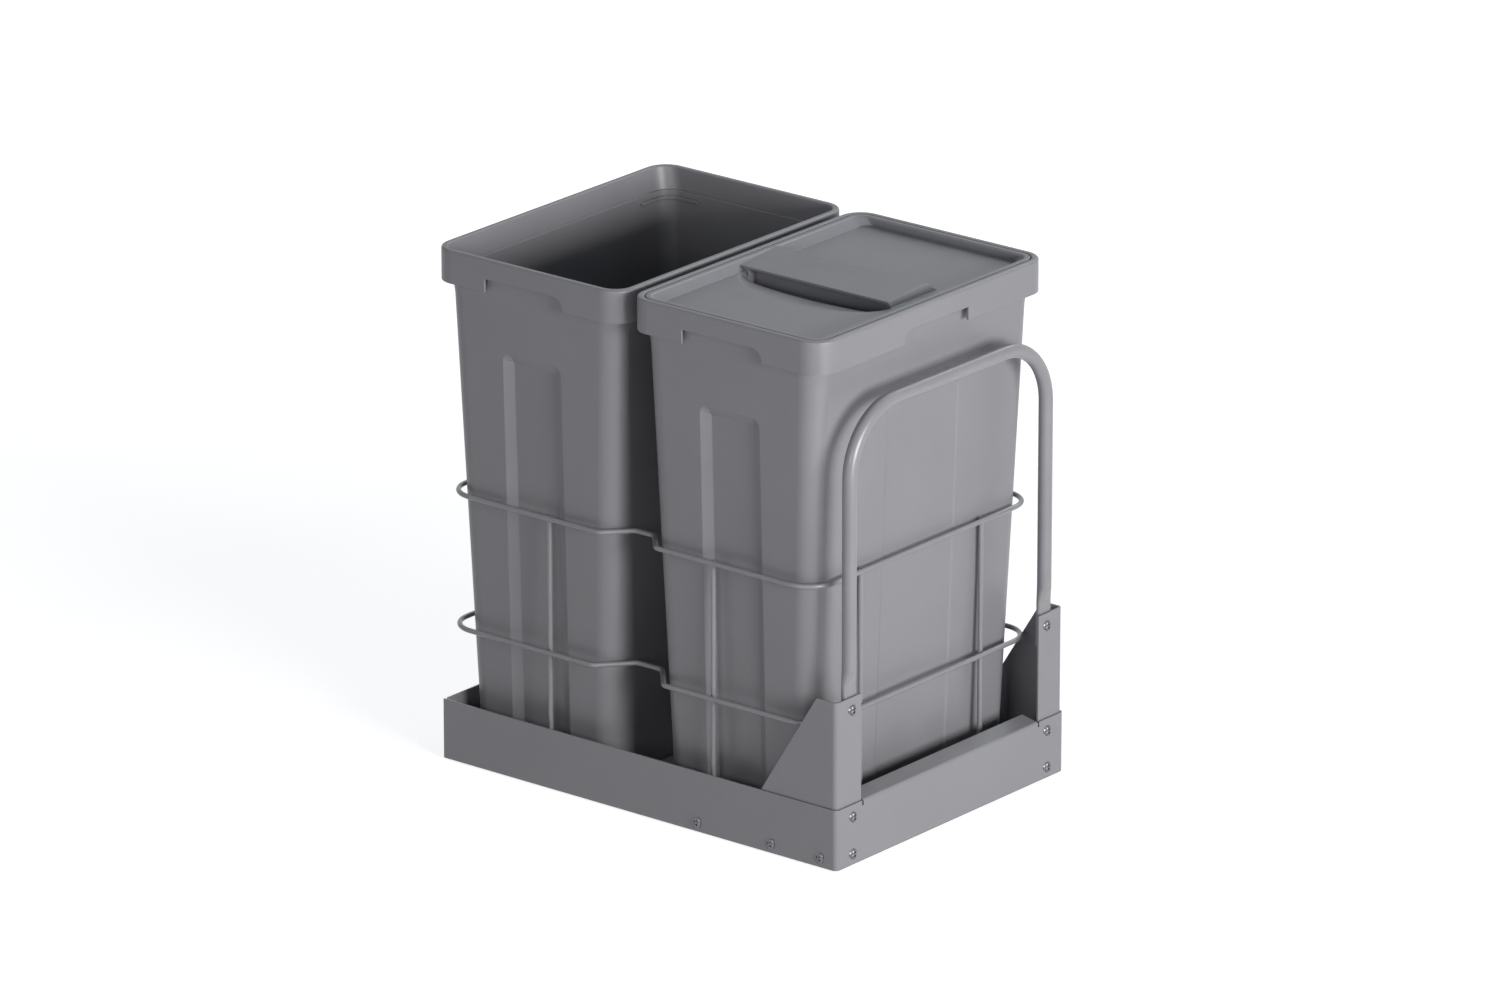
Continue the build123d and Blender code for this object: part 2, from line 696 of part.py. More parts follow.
with BuildPart() as bin_inside:
    add(tapered_body(-bin_wall, bin_wall, ledge_z))
    for block in all_recesses(bin_wall):
        add(block, mode=Mode.SUBTRACT)
    # stacking lugs in the corners
    lug_z = ledge_z - lug_below_ledge - lug_height
    with BuildSketch(Plane.XY.offset(lug_z)):
        body_outline(lug_z, 0)
        body_outline(lug_z, -bin_wall - lug_depth, mode=Mode.SUBTRACT)
        for across, deep in (
            (body_half_x(lug_z) - bin_wall - lug_reach, rim_y),
            (rim_x, body_half_y(lug_z) - bin_wall - lug_reach),
        ):
            Rectangle(across * 2, deep * 2, mode=Mode.SUBTRACT)
    extrude(amount=lug_height, mode=Mode.SUBTRACT)
    # the rim's inside opens out like a funnel above the ledge
    with BuildSketch(Plane.XY.offset(ledge_z)):
        body_outline(ledge_z, ledge_step - bin_wall)
    with BuildSketch(Plane.XY.offset(bin_height)):
        rim_outline(rim_bead)
    loft(ruled=True)

notch_sides = (
    (Plane(origin=(0, -rim_y - 1, 0), x_dir=(1, 0, 0), z_dir=(0, -1, 0)), -1),
    (Plane(origin=(0, rim_y + 1, 0), x_dir=(-1, 0, 0), z_dir=(0, 1, 0)), -1),
    (Plane(origin=(-rim_x - 1, 0, 0), x_dir=(0, 1, 0), z_dir=(1, 0, 0)), 1),
    (Plane(origin=(rim_x + 1, 0, 0), x_dir=(0, -1, 0), z_dir=(-1, 0, 0)), 1),
)
with BuildPart() as bin_shell:
    add(tapered_body(0, 0, flare_z))
    # under the rim the body flares out to carry the ledge and the bead
    with BuildSketch(Plane.XY.offset(flare_z)):
        body_outline(flare_z, 0)
    with BuildSketch(Plane.XY.offset(ledge_z)):
        body_outline(ledge_z, ledge_step)
    with BuildSketch(Plane.XY.offset(bead_z)):
        rim_outline(rim_bead - bin_wall)
    loft(ruled=True)
    with BuildSketch(Plane.XY.offset(bead_z)):
        rim_outline(0)
    extrude(amount=rim_bead_height)
    for block in all_recesses(0):
        add(block, mode=Mode.SUBTRACT)
    # skirt that hangs from the bead, shallower along the middle of every side
    with BuildSketch(Plane.XY.offset(skirt_z)):
        rim_outline(0)
        rim_outline(skirt_wall, mode=Mode.SUBTRACT)
    extrude(amount=bead_z - skirt_z)
    for side_plane, direction in notch_sides:
        with BuildSketch(side_plane):
            with BuildLine():
                round_end = FilletPolyline(
                    (-notch_round_end, skirt_z - 1),
                    (-notch_round_end, notch_z),
                    (0, notch_z),
                    radius=notch_radius,
                )
                Polyline(
                    round_end @ 1,
                    (notch_square_end, notch_z),
                    (notch_square_end, skirt_z - 1),
                    round_end @ 0,
                )
            make_face()
        extrude(amount=direction * (skirt_wall + 1.2), mode=Mode.SUBTRACT)
    add(bin_inside.part, mode=Mode.SUBTRACT)
    fillet(bin_shell.faces().sort_by(Axis.Z)[-1].outer_wire().edges(), rim_bead_radius)
    fillet(bin_shell.faces().sort_by(Axis.Z)[-1].inner_wires()[0].edges(), rim_bead_inner_radius)

for which, centre_y in (("front", front_bin_y), ("rear", rear_bin_y)):
    with BuildPart() as waste_bin:
        with Locations((0, centre_y, pan_top)):
            add(bin_shell.part)
    finish(waste_bin, which + "_bin")

# ---------------------------------------------------------------- lid of the front bin
lid_top = bin_height - lid_below_rim
lid_floor = lid_top - lid_dish_depth
lid_under = lid_floor - lid_sheet
lid_edge = rim_bead + lid_clear           # rim's outside to the lid's edge
dish_x = rim_x - lid_edge - lid_border
dish_y = rim_y - lid_edge - lid_border
dish_corner = bin_rim_radius - lid_edge - lid_border
scoop_y = (grip_low_y + grip_high_y) / 2
scoop_half = (grip_high_y - grip_low_y) / 2


def lid_block(inset, high):
    """Plug that fills the rim's funnel less its clearance, moved in by an inset, up to a height."""
    with BuildPart(mode=Mode.PRIVATE) as block:
        with BuildSketch(Plane.XY.offset(ledge_z)):
            body_outline(ledge_z, ledge_step - bin_wall - lid_clear - inset)
        with BuildSketch(Plane.XY.offset(bin_height)):
            rim_outline(lid_edge + inset)
        loft(ruled=True)
        with BuildSketch(Plane.XY.offset(high)):
            rim_outline(0)
        extrude(amount=bin_height, mode=Mode.SUBTRACT)
    return block.part


def grip_block(left, back, drop, low):
    """Ramped plateau from its left edge to the foot of its far slope, its top lowered by a drop."""
    ramp = (grip_crest_rise - grip_edge_rise) / (grip_crest_x - grip_low_x)
    floor = lid_floor - drop
    end = grip_low_y + drop
    with BuildPart(mode=Mode.PRIVATE) as block:
        with BuildSketch(forward_plane(0, back)):
            with BuildLine():
                Polyline(
                    (left, low),
                    (left, floor + grip_edge_rise + ramp * (left - grip_low_x)),
                    (grip_crest_x, floor + grip_crest_rise),
                    (grip_high_x, floor),
                    (grip_high_x, low),
                    close=True,
                )
            make_face()
        extrude(amount=back - end)
        # sloping front end
        with BuildSketch(sideways_plane(left)):
            with BuildLine():
                Polyline(
                    (end, floor),
                    (end + grip_end_run * 2, floor + grip_edge_rise * 2),
                    (end - grip_end_run, floor + grip_edge_rise * 2),
                    (end - grip_end_run, floor),
                    close=True,
                )
            make_face()
        extrude(amount=grip_high_x - left, mode=Mode.SUBTRACT)
    return block.part


def scoop_arc(sag, grow):
    """Left-hand half of an ellipse about the middle of the plateau's edge."""
    return EllipticalCenterArc(
        (grip_low_x, scoop_y), sag + grow, scoop_half + grow, start_angle=90, arc_size=180
    )


def shallow_scoop(grow, drop):
    """Shallow dish of the finger scoop, down to the mouth of its deep part."""
    with BuildPart(mode=Mode.PRIVATE) as block:
        for z, sag, inset in (
            (lid_floor - drop, scoop_sag, 0),
            (lid_floor - scoop_shallow - drop, scoop_pocket_sag, scoop_pocket_inset),
        ):
            with BuildSketch(Plane.XY.offset(z)):
                with BuildLine():
                    arc = scoop_arc(sag + inset, grow - inset)
                    Line(arc @ 1, arc @ 0)
                make_face()
        loft()
    return block.part


def deep_scoop(grow, low, high):
    """Deep part of the finger scoop, which reaches in under the plateau's edge."""
    right = grip_low_x + scoop_under + grow
    with BuildPart(mode=Mode.PRIVATE) as block:
        with BuildSketch(Plane.XY.offset(low)):
            with BuildLine():
                arc = scoop_arc(scoop_pocket_sag + scoop_pocket_inset, grow - scoop_pocket_inset)
                Polyline(arc @ 1, (right, (arc @ 1).Y), (right, (arc @ 0).Y), arc @ 0)
            make_face()
        extrude(amount=high - low)
    return block.part


with BuildPart() as bin_lid:
    add(lid_block(0, lid_top))
    add(lid_block(lid_sheet, lid_under), mode=Mode.SUBTRACT)
    # dish inside a rounded border
    with BuildSketch(Plane.XY.offset(lid_floor)):
        RectangleRounded(
            (dish_x - lid_dish_slope_across) * 2, (dish_y - lid_dish_slope_deep) * 2, dish_corner
        )
    with BuildSketch(Plane.XY.offset(lid_top)):
        RectangleRounded(dish_x * 2, dish_y * 2, dish_corner)
    loft(ruled=True, mode=Mode.SUBTRACT)
    fillet(bin_lid.faces().sort_by(Axis.Z)[-1].outer_wire().edges(), lid_edge_radius)
    fillet(bin_lid.faces().sort_by(Axis.Z)[-1].inner_wires()[0].edges(), lid_border_radius)
    # grip plateau, then the finger scoop beside it and under its edge
    add(grip_block(grip_low_x, dish_y + 1, 0, lid_under))
    hollow_left = grip_low_x + scoop_under + lid_sheet
    add(
        grip_block(hollow_left, dish_y - lid_dish_slope_deep, lid_sheet, lid_under - 1),
        mode=Mode.SUBTRACT,
    )
    add(shallow_scoop(0, lid_sheet))
    add(deep_scoop(lid_sheet, lid_floor - scoop_deep - lid_sheet, lid_under))
    add(shallow_scoop(0, 0), mode=Mode.SUBTRACT)
    scoop_roof = lid_floor + grip_edge_rise - lid_sheet
    add(deep_scoop(0, lid_floor - scoop_deep, scoop_roof), mode=Mode.SUBTRACT)

with BuildPart() as placed_lid:
    with Locations((0, front_bin_y, pan_top)):
        add(bin_lid.part)
finish(placed_lid, "bin_lid")

# ---------------------------------------------------------------- runners
rail_half = runner_width / 2
outer_inside = rail_half - runner_sheet
middle_half = outer_inside - ball_gap
middle_inside = middle_half - runner_sheet
inner_half = middle_inside - ball_gap
outer_top = runner_thickness - rail_below_pan
middle_low = runner_sheet + middle_rail_clear
middle_top = outer_top - middle_top_clear
inner_low = middle_low + runner_sheet + moving_rail_clear
moving_length = runner_length - stop_length
moving_back = runner_back - stop_length
ball_height = (middle_low + middle_top) / 2 + ball_above_middle
cage_front = runner_front + travel / 4 + cage_end_clear
cage_back = moving_back - travel / 4 - cage_end_clear
ball_step = (cage_back - cage_front) / (balls_per_row + 1)


def rail_channel(half, low, high, web_low):
    """Open channel section: two upright walls joined by a web at one level."""
    wall_x = half - runner_sheet / 2
    wall_middle = (low + high) / 2
    with Locations((wall_x, wall_middle), (-wall_x, wall_middle)):
        Rectangle(runner_sheet, high - low)
    with Locations((0, web_low + runner_sheet / 2)):
        Rectangle(half * 2, runner_sheet)


def ball_cage(row_half, web_low, strip_high):
    """Thin carrier with a row of balls on each side, joined by a web under the rail."""
    with BuildPart(mode=Mode.PRIVATE) as cage:
        with BuildSketch(forward_plane(0, cage_back)):
            for sign in (-1, 1):
                with Locations((sign * row_half, (web_low + strip_high) / 2)):
                    Rectangle(cage_strip, strip_high - web_low)
            with Locations((0, web_low + cage_strip / 2)):
                Rectangle(row_half * 2 + cage_strip, cage_strip)
        extrude(amount=cage_back - cage_front)
        with Locations(
            [
                Location((sign * row_half, cage_front + ball_step * (index + 1), ball_height), (0, 90, 0))
                for sign in (-1, 1)
                for index in range(balls_per_row)
            ]
        ):
            Sphere(ball / 2)
    return cage.part


outer_web = runner_sheet + outer_cage_clear
inner_web = middle_low + runner_sheet + inner_cage_clear
outer_cage = ball_cage(middle_half + ball_gap / 2, outer_web, outer_top - runner_sheet - cage_below_lip)
inner_cage = ball_cage(inner_half + ball_gap / 2, inner_web, middle_top - cage_below_lip)

for side, sign in (("left", -1), ("right", 1)):
    runner_x = sign * runner_spread / 2

    with BuildPart() as runner_fixed_rail:
        with BuildSketch(forward_plane(runner_x, runner_back)):
            rail_channel(rail_half, 0, outer_top, 0)
            # lips that keep the balls in
            lip_x = rail_half - rail_lip
            lip_z = outer_top - runner_sheet / 2
            with Locations((lip_x, lip_z), (-lip_x, lip_z)):
                Rectangle(rail_lip * 2, runner_sheet)
        extrude(amount=runner_length)
        with BuildSketch(Plane.XY):
            with Locations([(runner_x, runner_front + row) for row in fixing_rows]):
                Circle(fixing_radius)
        extrude(amount=runner_sheet, mode=Mode.SUBTRACT)
    finish(runner_fixed_rail, "runner_fixed_rail_" + side)

    with BuildPart() as runner_middle_rail:
        with BuildSketch(forward_plane(runner_x, moving_back)):
            rail_channel(middle_half, middle_low, middle_top, middle_low)
        extrude(amount=moving_length)
    finish(runner_middle_rail, "runner_middle_rail_" + side)

    with BuildPart() as runner_moving_rail:
        with BuildSketch(forward_plane(runner_x, moving_back)):
            rail_channel(inner_half, inner_low, pan_under, pan_under - runner_sheet)
        extrude(amount=moving_length)
        with BuildSketch(Plane.XY.offset(pan_under - runner_sheet)):
            with Locations([(runner_x, runner_front + row) for row in runner_screw_rows]):
                Circle(hole_radius)
        extrude(amount=runner_sheet, mode=Mode.SUBTRACT)
    finish(runner_moving_rail, "runner_moving_rail_" + side)

    with BuildPart() as runner_outer_cage:
        with Locations((runner_x, 0, 0)):
            add(outer_cage)
    finish(runner_outer_cage, "runner_outer_cage_" + side)
    with BuildPart() as runner_inner_cage:
        with Locations((runner_x, 0, 0)):
            add(inner_cage)
    finish(runner_inner_cage, "runner_inner_cage_" + side)

with BuildPart() as runner_stop_pads:
    with BuildSketch(Plane.XY.offset(runner_sheet)):
        with Locations([(sign * runner_spread / 2, runner_back - stop_length / 2) for sign in (-1, 1)]):
            RectangleRounded((middle_half - stop_side_clear) * 2, stop_length, stop_corner)
    extrude(amount=outer_top - runner_sheet - stop_top_clear)
finish(runner_stop_pads, "runner_stop_pads")

# screws that hold the moving rails, sunk flush with the pan
with BuildPart() as runner_screws:
    with Locations([(x, y, pan_top) for x, y in runner_screw_points]):
        Cylinder(
            screw_shank / 2,
            floor_sheet + runner_sheet + runner_screw_tip,
            align=(Align.CENTER, Align.CENTER, Align.MAX),
        )
    with Locations([(x, y, pan_top - sink_depth) for x, y in runner_screw_points]):
        Cone(
            hole_radius - hole_clear,
            sink_radius,
            sink_depth,
            align=(Align.CENTER, Align.CENTER, Align.MIN),
        )
finish(runner_screws, "runner_screws")

# ---------------------------------------------------------------- cross ties
tie_half = runner_spread / 2 - rail_half
for which, tie_y in (("front", runner_front + tie_inset), ("rear", runner_back - tie_inset)):
    with BuildPart() as cross_tie:
        with BuildSketch(sideways_plane(-tie_half)):
            with Locations((tie_y, sheet / 2)):
                Rectangle(tie_width, sheet)
            for sign in (-1, 1):
                with Locations((tie_y + sign * (tie_width - sheet) / 2, tie_edge / 2)):
                    Rectangle(sheet, tie_edge)
        extrude(amount=tie_half * 2)
        # end tabs that stand against the rails
        with BuildSketch(Plane.XY):
            with Locations((-tie_half + sheet / 2, tie_y), (tie_half - sheet / 2, tie_y)):
                Rectangle(sheet, tie_width)
        extrude(amount=tie_edge)
    finish(cross_tie, "cross_tie_" + which)
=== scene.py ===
import json
import math

import bpy
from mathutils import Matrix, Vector

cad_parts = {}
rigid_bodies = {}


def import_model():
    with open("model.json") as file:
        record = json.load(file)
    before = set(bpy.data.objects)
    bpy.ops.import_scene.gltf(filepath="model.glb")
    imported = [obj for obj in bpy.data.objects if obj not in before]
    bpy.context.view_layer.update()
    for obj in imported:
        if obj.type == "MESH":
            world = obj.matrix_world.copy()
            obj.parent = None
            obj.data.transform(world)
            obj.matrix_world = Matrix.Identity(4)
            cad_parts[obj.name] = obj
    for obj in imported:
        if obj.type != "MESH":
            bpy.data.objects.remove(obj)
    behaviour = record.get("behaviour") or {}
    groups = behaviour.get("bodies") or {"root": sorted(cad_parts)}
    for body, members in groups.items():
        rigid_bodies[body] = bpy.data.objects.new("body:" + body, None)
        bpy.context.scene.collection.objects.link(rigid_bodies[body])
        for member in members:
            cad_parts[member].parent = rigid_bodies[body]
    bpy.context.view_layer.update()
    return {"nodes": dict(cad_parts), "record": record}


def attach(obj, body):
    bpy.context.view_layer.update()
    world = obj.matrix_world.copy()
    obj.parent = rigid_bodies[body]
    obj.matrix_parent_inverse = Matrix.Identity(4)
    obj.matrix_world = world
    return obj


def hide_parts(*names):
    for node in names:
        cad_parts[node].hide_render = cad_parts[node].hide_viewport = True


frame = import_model()

MM = 0.001
TARGET = (0, 0, 0.25)   # middle of the unit, which the lamps point at


# ---------------------------------------------------------------- shader helpers
WEAR_PER_METRE = 170.0          # noise scales: how fine each effect is
SCRATCHES_PER_METRE = 420.0
HANDLED_PER_METRE = 9.0
DUST_PER_METRE = 38.0
SCRATCH_ROUGHNESS = 0.22        # what a scratch adds to the roughness
DUST_ROUGHNESS = 0.2            # what full dust adds to it
DUST_COVER = 0.35               # how much of the colour full dust hides
PAINTED_SHADE_TONE = 0.12                # painted shade's colour in joints and hollows, as a share of the finish's
EDGE_TONE = 1.35                # a wearing edge's colour as a share of the finish's, unless it has its own

class Shader:
    """A node tree that is filled in step by step."""

    def __init__(self, tree):
        self.tree = tree
        self.column = 0

    def node(self, kind, **settings):
        made = self.tree.nodes.new(kind)
        made.location = (self.column * 190, -(self.column % 4) * 160)
        self.column += 1
        for name, value in settings.items():
            setattr(made, name, value)
        return made

    def join(self, source, target):
        self.tree.links.new(source, target)

    def math(self, operation, first, second=None, clamp=False):
        step = self.node("ShaderNodeMath", operation=operation, use_clamp=clamp)
        for socket, value in zip(step.inputs, (first, second)):
            if value is None:
                continue
            if isinstance(value, (int, float)):
                socket.default_value = value
            else:
                self.join(value, socket)
        return step.outputs[0]

    def noise(self, vector, scale, detail=3.0, roughness=0.55, distortion=0.0):
        made = self.node("ShaderNodeTexNoise")
        self.join(vector, made.inputs["Vector"])
        if isinstance(scale, (int, float)):
            made.inputs["Scale"].default_value = scale
        else:
            self.join(scale, made.inputs["Scale"])
        made.inputs["Detail"].default_value = detail
        made.inputs["Roughness"].default_value = roughness
        made.inputs["Distortion"].default_value = distortion
        return made.outputs["Fac"]

    def ramp(self, value, low, high, to_low=0.0, to_high=1.0):
        made = self.node("ShaderNodeMapRange", clamp=True)
        self.join(value, made.inputs["Value"])
        limits = {"From Min": low, "From Max": high, "To Min": to_low, "To Max": to_high}
        for name, number in limits.items():
            if isinstance(number, (int, float)):
                made.inputs[name].default_value = number
            else:
                self.join(number, made.inputs[name])
        return made.outputs["Result"]


def effect_group(name, inputs, outputs):
    """An empty shader group with named float, vector or colour sockets."""
    tree = bpy.data.node_groups.new(name, "ShaderNodeTree")
    for label, kind, value in inputs:
        socket = tree.interface.new_socket(name=label, in_out="INPUT", socket_type="NodeSocket" + kind)
        if value is not None:
            socket.default_value = value
    for label, kind in outputs:
        tree.interface.new_socket(name=label, in_out="OUTPUT", socket_type="NodeSocket" + kind)
    shader = Shader(tree)
    return shader, shader.node("NodeGroupInput"), shader.node("NodeGroupOutput")


def grain_group():
    """Fine pebbled surface of a textured mould or a powder coat."""
    g, given, out = effect_group(
        "surface_grain",
        [("Vector", "Vector", None), ("Grain Size mm", "Float", 0.5), ("Flow mm", "Float", 60.0)],
        [("Height", "Float"), ("Patches", "Float")],
    )
    fine_share = 0.7
    per_metre = g.math("DIVIDE", 1 / MM, given.outputs["Grain Size mm"])
    fine = g.noise(given.outputs["Vector"], per_metre, detail=2.0, roughness=0.6)
    coarse_scale = g.math("MULTIPLY", per_metre, 0.31)
    coarse = g.noise(given.outputs["Vector"], coarse_scale, detail=1.0)
    height = g.math(
        "ADD", g.math("MULTIPLY", fine, fine_share), g.math("MULTIPLY", coarse, 1 - fine_share)
    )
    g.join(height, out.inputs["Height"])
    flow_scale = g.math("DIVIDE", 1 / MM, given.outputs["Flow mm"])
    patches = g.noise(given.outputs["Vector"], flow_scale, detail=4.0, distortion=0.6)
    g.join(g.ramp(patches, 0.3, 0.7), out.inputs["Patches"])
    return g.tree


def wear_and_highlight_edge_group():
    """Mask of the outer edges, broken up by noise, for edge wear and, on the plastics, a painted
    highlight, and a softened normal for them.
    """
    g, given, out = effect_group(
        "wear_and_painted_highlight_on_edges",
        [("Vector", "Vector", None), ("Edge mm", "Float", 0.8), ("Breakup", "Float", 0.5)],
        [("Mask", "Float"), ("Normal", "Vector")],
    )
    bevel = g.node("ShaderNodeBevel", samples=6)
    g.join(g.math("MULTIPLY", given.outputs["Edge mm"], MM), bevel.inputs["Radius"])
    plain = g.node("ShaderNodeNewGeometry")
    dot = g.node("ShaderNodeVectorMath", operation="DOT_PRODUCT")
    g.join(bevel.outputs["Normal"], dot.inputs[0])
    g.join(plain.outputs["Normal"], dot.inputs[1])
    flat_cosine, sharp_cosine = 0.98, 0.75      # between the plain and the softened normal
    bend = g.ramp(dot.outputs["Value"], flat_cosine, sharp_cosine)
    patchy = g.noise(given.outputs["Vector"], WEAR_PER_METRE, detail=4.0, roughness=0.65)
    low = g.math("MULTIPLY", given.outputs["Breakup"], 0.62)
    kept = g.ramp(patchy, low, g.math("ADD", low, 0.18))
    g.join(g.math("MULTIPLY", bend, kept), out.inputs["Mask"])
    g.join(bevel.outputs["Normal"], out.inputs["Normal"])
    return g.tree


def painted_shade_group():
    """Mask of joints, notches and inner corners, which light hardly reaches, for painted shade in the
    colour.
    """
    g, given, out = effect_group(
        "painted_shade_in_hollows", [("Reach mm", "Float", 4.0), ("Strength", "Float", 0.7)], [("Mask", "Float")]
    )
    near = g.node("ShaderNodeAmbientOcclusion", samples=8)
    g.join(g.math("MULTIPLY", given.outputs["Reach mm"], MM), near.inputs["Distance"])
    open_share, closed_share = 0.85, 0.35       # of the surroundings that a point can see
    closed = g.ramp(near.outputs["AO"], open_share, closed_share)
    g.join(g.math("MULTIPLY", closed, given.outputs["Strength"]), out.inputs["Mask"])
    return g.tree


def scuff_group():
    """Faint handling scratches and settled dust, as a roughness shift and a pale mask."""
    g, given, out = effect_group(
        "scuffs_and_dust",
        [("Vector", "Vector", None), ("Scuff", "Float", 0.5), ("Dust", "Float", 0.3)],
        [("Roughness Shift", "Float"), ("Dust Mask", "Float")],
    )
    stretch = g.node("ShaderNodeMapping")
    stretch.inputs["Scale"].default_value = (1.0, 1.0, 0.09)        # draws the noise out into lines
    stretch.inputs["Rotation"].default_value = (0.35, 0.2, 0.5)
    g.join(given.outputs["Vector"], stretch.inputs["Vector"])
    streaks = g.noise(stretch.outputs["Vector"], SCRATCHES_PER_METRE, detail=3.0, roughness=0.7)
    lines = g.ramp(streaks, 0.66, 0.78)
    where = g.ramp(g.noise(given.outputs["Vector"], HANDLED_PER_METRE, detail=2.0), 0.45, 0.65)
    scuffed = g.math("MULTIPLY", g.math("MULTIPLY", lines, where), given.outputs["Scuff"])
    g.join(g.math("MULTIPLY", scuffed, SCRATCH_ROUGHNESS), out.inputs["Roughness Shift"])
    facing = g.node("ShaderNodeNewGeometry")
    split = g.node("ShaderNodeSeparateXYZ")
    g.join(facing.outputs["Normal"], split.inputs["Vector"])
    upward = g.ramp(split.outputs["Z"], 0.55, 1.0)
    specks = g.noise(given.outputs["Vector"], DUST_PER_METRE, detail=6.0, roughness=0.7)
    settled = g.ramp(specks, 0.42, 0.8)
    dust = g.math("MULTIPLY", g.math("MULTIPLY", upward, settled), given.outputs["Dust"])
    g.join(dust, out.inputs["Dust Mask"])
    return g.tree


GRAIN = grain_group()
WEAR_AND_HIGHLIGHT_GROUP = wear_and_highlight_edge_group()
PAINTED_SHADE_GROUP = painted_shade_group()
SCUFF = scuff_group()


def surface(name, colour, roughness, *, spread=0.05, tint=0.06, metallic=0.0, specular=0.5,
            coat=0.0, coat_roughness=0.3, grain_mm=0.5, bump_mm=0.02, flow_mm=60.0, edge_mm=0.8,
            wear_and_highlight_tint=None, wear_and_highlight_amount=0.5, breakup=0.5, edge_roughness=-0.08, scuff=0.5, dust=0.25,
            dust_colour=(0.5, 0.49, 0.47), painted_shade_reach_mm=4.0, painted_shade_strength=0.85):
    """Opaque finish with patches, lighter edges (wear, and a painted highlight on the plastics), dust,
    painted shade in joints and hollows, grain bump and uneven roughness.
    """
    material = bpy.data.materials.new(name)
    material.use_nodes = True
    material.node_tree.nodes.clear()
    s = Shader(material.node_tree)
    where = s.node("ShaderNodeTexCoord").outputs["Object"]

    grain = s.node("ShaderNodeGroup", node_tree=GRAIN)
    grain.inputs["Grain Size mm"].default_value = grain_mm
    grain.inputs["Flow mm"].default_value = flow_mm
    wear_highlight_node = s.node("ShaderNodeGroup", node_tree=WEAR_AND_HIGHLIGHT_GROUP)
    wear_highlight_node.inputs["Edge mm"].default_value = edge_mm
    wear_highlight_node.inputs["Breakup"].default_value = breakup
    scuffs = s.node("ShaderNodeGroup", node_tree=SCUFF)
    scuffs.inputs["Scuff"].default_value = scuff
    scuffs.inputs["Dust"].default_value = dust
    for group in (grain, wear_highlight_node, scuffs):
        s.join(where, group.inputs["Vector"])

    patched = s.node("ShaderNodeMix", data_type="RGBA")
    patched.inputs["A"].default_value = (*[c * (1 - tint) for c in colour], 1)
    patched.inputs["B"].default_value = (*[min(c * (1 + tint), 1) for c in colour], 1)
    s.join(grain.outputs["Patches"], patched.inputs["Factor"])
    # lighter edges: wear, and on the bin and lid plastics a painted highlight along rims and beads
    edged = s.node("ShaderNodeMix", data_type="RGBA")
    wear_highlight_colour = wear_and_highlight_tint or [min(c * EDGE_TONE, 1) for c in colour]
    edged.inputs["B"].default_value = (*wear_highlight_colour, 1)
    s.join(patched.outputs["Result"], edged.inputs["A"])
    s.join(s.math("MULTIPLY", wear_highlight_node.outputs["Mask"], wear_and_highlight_amount), edged.inputs["Factor"])
    dusted = s.node("ShaderNodeMix", data_type="RGBA")
    dusted.inputs["B"].default_value = (*dust_colour, 1)
    s.join(edged.outputs["Result"], dusted.inputs["A"])
    s.join(s.math("MULTIPLY", scuffs.outputs["Dust Mask"], DUST_COVER), dusted.inputs["Factor"])

    # painted shade: the colour darkens where ambient occlusion finds joints, notches and inner corners
    painted_shade_node = s.node("ShaderNodeGroup", node_tree=PAINTED_SHADE_GROUP)
    painted_shade_node.inputs["Reach mm"].default_value = painted_shade_reach_mm
    painted_shade_node.inputs["Strength"].default_value = painted_shade_strength
    shaded = s.node("ShaderNodeMix", data_type="RGBA")
    shaded.inputs["B"].default_value = (*[c * PAINTED_SHADE_TONE for c in colour], 1)
    s.join(dusted.outputs["Result"], shaded.inputs["A"])
    s.join(painted_shade_node.outputs["Mask"], shaded.inputs["Factor"])

    rough = s.ramp(grain.outputs["Patches"], 0, 1, roughness - spread, roughness + spread)
    rough = s.math("ADD", rough, scuffs.outputs["Roughness Shift"])
    rough = s.math("ADD", rough, s.math("MULTIPLY", wear_highlight_node.outputs["Mask"], edge_roughness))
    dusty = s.math("MULTIPLY", scuffs.outputs["Dust Mask"], DUST_ROUGHNESS)
    rough = s.math("ADD", rough, dusty, clamp=True)

    bump = s.node("ShaderNodeBump")
    bump.inputs["Strength"].default_value = 1.0
    bump.inputs["Distance"].default_value = bump_mm * MM
    s.join(grain.outputs["Height"], bump.inputs["Height"])
    s.join(wear_highlight_node.outputs["Normal"], bump.inputs["Normal"])

    shader = s.node("ShaderNodeBsdfPrincipled")
    s.join(shaded.outputs["Result"], shader.inputs["Base Color"])
    s.join(rough, shader.inputs["Roughness"])
    s.join(bump.outputs["Normal"], shader.inputs["Normal"])
    shader.inputs["Metallic"].default_value = metallic
    shader.inputs["Specular IOR Level"].default_value = specular
    shader.inputs["Coat Weight"].default_value = coat
    shader.inputs["Coat Roughness"].default_value = coat_roughness
    s.join(shader.outputs["BSDF"], s.node("ShaderNodeOutputMaterial").inputs["Surface"])
    return material


# ---------------------------------------------------------------- finishes
GREY_PAINT = (0.205, 0.203, 0.217)
GREY_PLASTIC = (0.206, 0.203, 0.216)
GREY_LID = (0.176, 0.177, 0.191)

